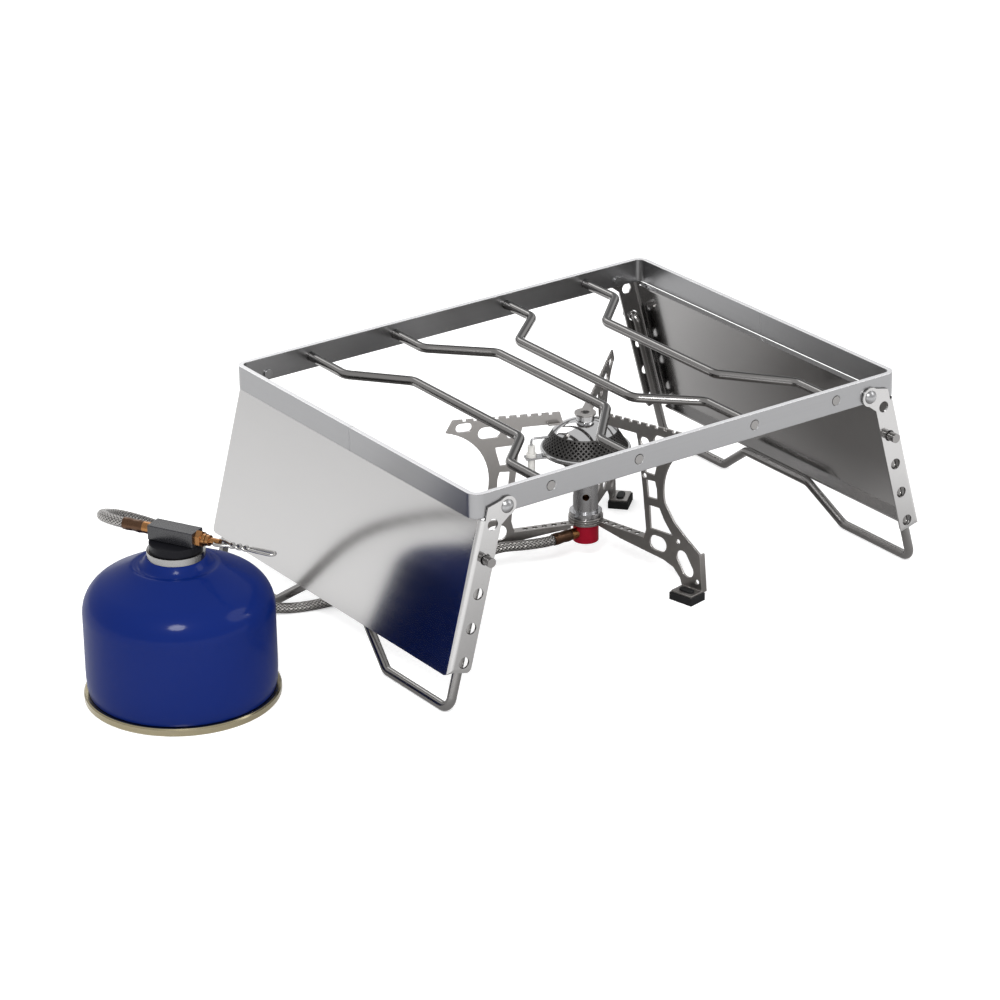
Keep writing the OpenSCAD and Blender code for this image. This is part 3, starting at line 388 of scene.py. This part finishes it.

# finishes: stretch is the brushing's scale along x, y and z, tone its contrast, relief its bump, edge the
# rounding in metres, wear how much lighter edges are, partly rubbed bare and partly a painted highlight, rim
# how much lighter what faces up is, a painted highlight, and a painted dark reflection when negative
plainFinish = {
    # by default edges are a little lighter, partly rubbed bare, partly a painted highlight
    "relief": 0.0, "metal": 1.0, "edge": 0.0003, "wearAndHighlight": 0.4, "rim": 0.0,
    "coat": 0.0, "coatRough": 0.12, "specular": 0.5,
}
finishes = {
    "frameSteel": {
        "tint": (0.265, 0.265, 0.27), "stretch": (14, 14, 700), "tone": 0.08, "rough": 0.3, "relief": 0.03,
        # the band's up-facing tops painted lighter, a painted highlight; its edges lighter, partly rubbed
        # bare, partly a painted highlight
        "edge": 0.0006, "wearAndHighlight": 0.8, "rim": 2.1,
        "on": ("frame_front_half", "frame_back_half"),
    },
    "rodSteel": {
        "tint": (0.22, 0.214, 0.21), "stretch": (300, 20, 300), "tone": 0.06, "rough": 0.19, "edge": 0.0,
        # the rods' up-facing tops painted darker, a painted dark reflection
        "rim": -0.88,
        "on": ("grill_rod_1", "grill_rod_2", "grill_rod_3", "grill_rod_4"),
    },
    "legWire": {
        "tint": (0.22, 0.214, 0.21), "stretch": (300, 20, 300), "tone": 0.06, "rough": 0.19, "edge": 0.0,
        "on": ("left_wire_leg", "right_wire_leg"),
    },
    "panelSteel": {
        "tint": (0.42, 0.415, 0.413), "stretch": (500, 24, 500), "tone": 0.05, "rough": 0.15, "edge": 0.0,
        "on": ("left_panel", "right_panel"),
    },
    "rivetSteel": {
        "tint": (0.3, 0.3, 0.306), "stretch": (400, 400, 400), "tone": 0.06, "rough": 0.3, "relief": 0.02,
        "on": ("left_pivot_rivets", "right_pivot_rivets"),
    },
    "redInlet": {
        "tint": (0.52, 0.008, 0.034), "stretch": (300, 300, 1500), "tone": 0.12, "rough": 0.3, "relief": 0.03,
        "metal": 0.7,
        "on": ("inlet_body",),
    },
    "brass": {
        "tint": (0.28, 0.136, 0.053), "stretch": (700, 700, 700), "tone": 0.2, "rough": 0.28, "relief": 0.05,
        "on": ("gas_jet", "burner_nipple", "valve_nipple", "gland_nut", "valve_spindle"),
    },
    "columnSteel": {
        "tint": (0.5, 0.5, 0.51), "stretch": (40, 40, 900), "tone": 0.03, "rough": 0.24, "edge": 0.0,
        "on": ("burner_column", "column_collar", "spring_clip", "igniter_bracket", "igniter_electrode",
               "canister_inner_valve"),
    },
    "darkSteel": {
        "tint": (0.1, 0.096, 0.095), "stretch": (500, 500, 500), "tone": 0.3, "rough": 0.4, "relief": 0.06,
        "on": ("mixing_cup",),
    },
    "skirtSteel": {
        "tint": (0.04, 0.038, 0.037), "stretch": (500, 500, 500), "tone": 0.3, "rough": 0.5, "relief": 0.05,
        "metal": 0.6,
        "on": ("perforatedSkirt",),
    },
    "polishedSteel": {
        "tint": (0.55, 0.55, 0.555), "stretch": (300, 300, 300), "tone": 0.04, "rough": 0.08, "edge": 0.0,
        "on": ("trim_ring", "dome_cap"),
    },
    "legSteel": {
        "tint": (0.35, 0.336, 0.326), "stretch": (200, 200, 200), "tone": 0.1, "rough": 0.32, "relief": 0.01,
        # edges lighter, partly rubbed bare, partly a painted highlight
        "edge": 0.0004, "wearAndHighlight": 0.8,
        "on": ("back_burner_leg", "left_burner_leg", "right_burner_leg"),
    },
    "rubber": {
        "tint": (0.012, 0.012, 0.013), "stretch": (900, 900, 900), "tone": 0.4, "rough": 0.5, "relief": 0.2,
        "metal": 0.0, "specular": 0.2,
        "on": ("back_foot_pad", "left_foot_pad", "right_foot_pad", "valve_seal"),
    },
    "ceramic": {
        "tint": (0.7, 0.69, 0.66), "stretch": (600, 600, 600), "tone": 0.08, "rough": 0.3, "relief": 0.04,
        "metal": 0.0, "coat": 0.3,
        "on": ("igniter_ceramic",),
    },
    "brownSleeve": {
        "tint": (0.078, 0.041, 0.023), "stretch": (900, 900, 900), "tone": 0.25, "rough": 0.3, "relief": 0.1,
        "metal": 0.85,
        "on": ("burner_sleeve", "valve_sleeve"),
    },
    "bluePaint": {
        "tint": (0.0025, 0.0135, 0.116), "stretch": (60, 60, 60), "tone": 0.06, "rough": 0.42, "metal": 0.0,
        "edge": 0.0, "coat": 0.16, "specular": 0.02,
        "on": ("paintedShell",),
    },
    "goldTin": {
        "tint": (0.29, 0.255, 0.168), "stretch": (500, 500, 900), "tone": 0.1, "rough": 0.2, "edge": 0.0,
        "on": ("canister_base",),
    },
    "collarTin": {
        "tint": (0.26, 0.258, 0.254), "stretch": (300, 300, 900), "tone": 0.1, "rough": 0.2, "edge": 0.0,
        "on": ("canister_valve_cup",),
    },
    "blackPlastic": {
        "tint": (0.012, 0.012, 0.015), "stretch": (1100, 1100, 1100), "tone": 0.2, "rough": 0.26,
        # edges painted much lighter, partly rubbed bare, partly a painted highlight
        "relief": 0.03, "metal": 0.0, "specular": 0.6, "wearAndHighlight": 3.0,
        "on": ("valve_block",),
    },
    "capPlastic": {
        "tint": (0.006, 0.006, 0.008), "stretch": (1100, 1100, 1100), "tone": 0.3, "rough": 0.4,
        "relief": 0.06, "metal": 0.0, "specular": 0.12,
        "on": ("valve_base",),
    },
    "handleWire": {
        "tint": (0.32, 0.314, 0.308), "stretch": (900, 900, 900), "tone": 0.15, "rough": 0.24, "relief": 0.04,
        "on": ("twistedHandle",),
    },
}


def finishMaterial(name, finish):
    mat, tree, shader = nodeMaterial(name)
    detail = tree.nodes.new("ShaderNodeGroup")
    detail.node_tree = surfaceDetail
    setSockets(tree, detail, Tint=(*finish["tint"], 1), Stretch=finish["stretch"], Tone=finish["tone"],
               Rough=finish["rough"], Relief=finish["relief"], Edge=finish["edge"], Wear=finish["wearAndHighlight"],
               Rim=finish["rim"])
    setSockets(tree, shader, Metallic=finish["metal"], Specular_IOR_Level=finish["specular"],
               Coat_Weight=finish["coat"], Coat_Roughness=finish["coatRough"])
    setSockets(tree, shader, Base_Color=detail.outputs["Colour"], Roughness=detail.outputs["Roughness"],
               Normal=detail.outputs["Normal"])
    return mat


pieces = {**nodes, **{piece.name: piece for piece in (handle, skirt, shell)}}
for name, finish in finishes.items():
    mat = finishMaterial(name, {**plainFinish, **finish})
    for piece in finish["on"]:
        pieces[piece].data.materials.clear()
        pieces[piece].data.materials.append(mat)

# braid: strands cross over and under each other in the hose's own uv map
braidSet = {
    "around": 10.0, "perMetre": 400.0, "keepPositive": 1000.0,
    # the colour darkens from each strand's crown down into the grooves between strands: painted shade
    "dark": (0.3, (0.01, 0.0085, 0.0075)), "light": (0.85, (0.56, 0.54, 0.52)),  # height and colour
    "dirt": 0.6, "dirtScale": 500.0, "dirtDetail": 3.0,
    "metal": 0.85, "rough": 0.34, "bump": 0.9, "depth": 0.0004,
}


def braidMaterial():
    mat, tree, shader = nodeMaterial("braid")

    def hump(strands):
        wave = mathNode(tree, "SINE", mathNode(tree, "MULTIPLY", strands, math.pi))
        return mathNode(tree, "ABSOLUTE", wave)

    uv = tree.nodes.new("ShaderNodeUVMap")
    split = addNode(tree, "ShaderNodeSeparateXYZ", Vector=uv.outputs[0]).outputs
    around = mathNode(tree, "MULTIPLY", split[0], braidSet["around"])
    along = mathNode(tree, "MULTIPLY", split[1], braidSet["perMetre"])
    one = mathNode(tree, "ADD", around, along)
    two = mathNode(tree, "SUBTRACT", around, along)
    cellOne = mathNode(tree, "FLOOR", one)
    cellTwo = mathNode(tree, "FLOOR", mathNode(tree, "ADD", two, braidSet["keepPositive"]))
    over = mathNode(tree, "MODULO", mathNode(tree, "ADD", cellOne, cellTwo), 2.0)
    under = mathNode(tree, "SUBTRACT", 1.0, over)
    topOne = mathNode(tree, "MULTIPLY", hump(one), over)
    topTwo = mathNode(tree, "MULTIPLY", hump(two), under)
    height = mathNode(tree, "ADD", topOne, topTwo)
    wireColourAndGrooveShade = rampNode(tree, height, braidSet["dark"], braidSet["light"])
    coords = tree.nodes.new("ShaderNodeTexCoord").outputs
    dirt = addNode(tree, "ShaderNodeTexNoise", Vector=coords["Object"], Scale=braidSet["dirtScale"],
                   Detail=braidSet["dirtDetail"]).outputs["Fac"]
    bump = addNode(tree, "ShaderNodeBump", Strength=braidSet["bump"], Distance=braidSet["depth"],
                   Height=height)
    setSockets(tree, shader, Base_Color=mixNode(tree, braidSet["dirt"], wireColourAndGrooveShade, dirt, "MULTIPLY"),
               Metallic=braidSet["metal"], Roughness=braidSet["rough"], Normal=bump.outputs["Normal"])
    return mat


hose.data.materials.append(braidMaterial())
print("materials set")

# stage: paper floor, white to the camera and in metal, and shaded under the stand where metal mirrors it
stageSet = {
    "size": 12, "paper": (0.86, 0.86, 0.86), "rough": 0.9, "specular": 0.1, "lift": 0.45,
    "shade": (0.27, 0.263, 0.257), "shadeMiddle": (0.077, 0, 0), "shadeReach": (0.13, 0.36),
}
white = (1, 1, 1, 1)
bm = bmesh.new()
bmesh.ops.create_grid(bm, x_segments=1, y_segments=1, size=stageSet["size"])
floor = newObject("floor", bm, smooth=False)
floorMat, tree, shader = nodeMaterial("floorPaper")
paths = tree.nodes.new("ShaderNodeLightPath").outputs
coords = tree.nodes.new("ShaderNodeTexCoord").outputs
paper = (*stageSet["paper"], 1)
fromStand = vectorNode(tree, "DISTANCE", coords["Object"], stageSet["shadeMiddle"])
spread = rangeNode(tree, fromStand, *stageSet["shadeReach"])
bounced = mathNode(tree, "MAXIMUM", paths["Is Glossy Ray"], paths["Is Transmission Ray"])
mirrored = mixNode(tree, spread, (*stageSet["shade"], 1), paper)
shown = mathNode(tree, "MAXIMUM", paths["Is Camera Ray"], mathNode(tree, "MULTIPLY", bounced, spread))
setSockets(tree, shader, Base_Color=mixNode(tree, bounced, paper, mirrored), Roughness=stageSet["rough"],
           Specular_IOR_Level=stageSet["specular"], Emission_Color=white,
           Emission_Strength=mathNode(tree, "MULTIPLY", shown, stageSet["lift"]))
floor.data.materials.append(floorMat)

# world: the same white to the camera and in metal, while the light it gives is dark low down and light above
worldSet = {
    "low": (0.5, (0.12, 0.12, 0.125)), "high": (0.85, (1, 1, 1)),  # 0 straight down, 1 straight up
    "strength": 0.85,
}
world = bpy.data.worlds.new("studio")
scene.world = world
world.use_nodes = True
tree = world.node_tree
paths = tree.nodes.new("ShaderNodeLightPath").outputs
coords = tree.nodes.new("ShaderNodeTexCoord").outputs
rise = vectorNode(tree, "DOT_PRODUCT", coords["Generated"], (0, 0, 1))
sky = rampNode(tree, rangeNode(tree, rise, -1, 1), worldSet["low"], worldSet["high"])
bounced = mathNode(tree, "MAXIMUM", paths["Is Glossy Ray"], paths["Is Transmission Ray"])
shown = mathNode(tree, "MAXIMUM", paths["Is Camera Ray"], bounced)
setSockets(tree, tree.nodes["Background"], Color=mixNode(tree, shown, sky, white),
           Strength=worldSet["strength"])

lampAim = Vector((0, 0, 0.05))
lampSet = {
    "key": {"place": (-1.0, -1.2, 1.4), "size": 0.6, "power": 28},
    "fill": {"place": (1.4, -1.2, 1.2), "size": 1.2, "power": 10},
    "back": {"place": (0.3, 1.6, 1.4), "size": 1.0, "power": 6},
}
for name, lampLook in lampSet.items():
    data = bpy.data.lights.new(name, "AREA")
    data.shape = "DISK"
    data.size = lampLook["size"]
    data.energy = lampLook["power"]
    lamp = bpy.data.objects.new(name, data)
    lamp.location = lampLook["place"]
    lamp.rotation_euler = (lampAim - lamp.location).to_track_quat("-Z", "Y").to_euler()
    scene.collection.objects.link(lamp)
print("stage set")

scene.view_settings.view_transform = "Standard"
